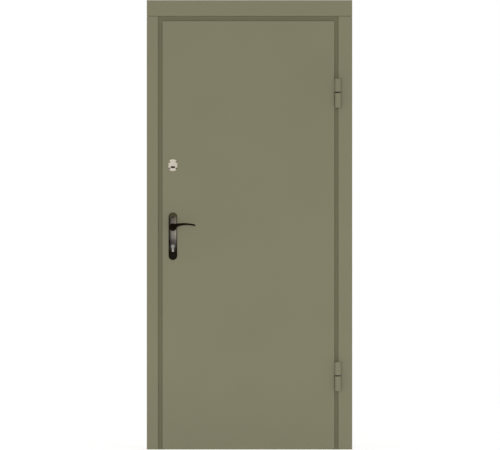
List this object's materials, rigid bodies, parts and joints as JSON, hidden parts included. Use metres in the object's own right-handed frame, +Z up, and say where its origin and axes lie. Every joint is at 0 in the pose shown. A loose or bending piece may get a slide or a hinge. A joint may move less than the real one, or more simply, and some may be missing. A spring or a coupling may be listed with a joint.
{
  "type": "entrance door",
  "caption": "Plain painted sheet-steel entrance door in a tube frame with folded casings, exposed barrel hinges, a keyhole escutcheon and a long-plate lever handle.",
  "frame": {"origin": "on the underside of the threshold, at the middle of the frame's depth and of the overall width", "axes": "+X to the hinge side, +Y into the building, +Z up; the outer face looks along -Y"},
  "size_m": [0.96, 0.167, 2.1],
  "materials": {
    "frame_paint": "satin powder coat",
    "casing_paint": "satin powder coat",
    "leaf_paint": "satin powder coat",
    "hinge_paint": "satin powder coat",
    "hinge_steel": "ground and oiled",
    "hinge_bearing": "dark, greased",
    "seal_rubber": "matt",
    "strike_zinc": "zinc plated",
    "lock_zinc": "zinc plated",
    "bolt_steel": "nickel plated",
    "satin_nickel": "satin nickel",
    "black_nickel": "polished black nickel",
    "cylinder_nickel": "nickel plated",
    "spindle_steel": "plain"
  },
  "bodies": {
    "frame": {"lock_jamb": "frame_paint", "hinge_jamb": "frame_paint", "frame_head": "frame_paint", "threshold": "frame_paint", "lock_casing": "casing_paint", "hinge_casing": "casing_paint", "head_casing": "casing_paint", "lock_seal": "seal_rubber", "hinge_seal": "seal_rubber", "head_seal": "seal_rubber", "threshold_seal": "seal_rubber", "upper_strike_plate": "strike_zinc", "lower_strike_plate": "strike_zinc", "upper_hinge_pin": "hinge_steel", "lower_hinge_pin": "hinge_steel", "upper_hinge_washer": "hinge_bearing", "lower_hinge_washer": "hinge_bearing", "upper_hinge_frame_knuckle": "hinge_paint", "lower_hinge_frame_knuckle": "hinge_paint"},
    "leaf": {"leaf_outer_sheet": "leaf_paint", "leaf_inner_sheet": "leaf_paint", "leaf_lock_stile": "leaf_paint", "leaf_hinge_stile": "leaf_paint", "leaf_top_rail": "leaf_paint", "leaf_bottom_rail": "leaf_paint", "upper_hinge_leaf_knuckle": "hinge_paint", "lower_hinge_leaf_knuckle": "hinge_paint", "upper_lock": "lock_zinc", "lower_lock": "lock_zinc", "upper_lock_bolts": "bolt_steel", "lower_lock_bolts": "bolt_steel", "outer_escutcheon": "satin_nickel", "inner_escutcheon": "satin_nickel", "outer_handle_plate": "black_nickel", "inner_handle_plate": "black_nickel", "lock_cylinder": "cylinder_nickel"},
    "lever": {"outer_lever": "black_nickel", "inner_lever": "black_nickel", "lever_spindle": "spindle_steel"}
  },
  "joints": [
    {"name": "leaf_swing", "type": "hinge", "parent": "frame", "child": "leaf", "pos_m": [0.413, -0.0585, 0], "axis": [0, 0, 1], "range_deg": [0, 175]},
    {"name": "lever_turn", "type": "hinge", "parent": "leaf", "child": "lever", "pos_m": [-0.358, -0.011, 1.039], "axis": [0, 1, 0], "range_deg": [0, 45], "stiffness_Nm_per_rad": 2, "springref_deg": -20.05}
  ]
}
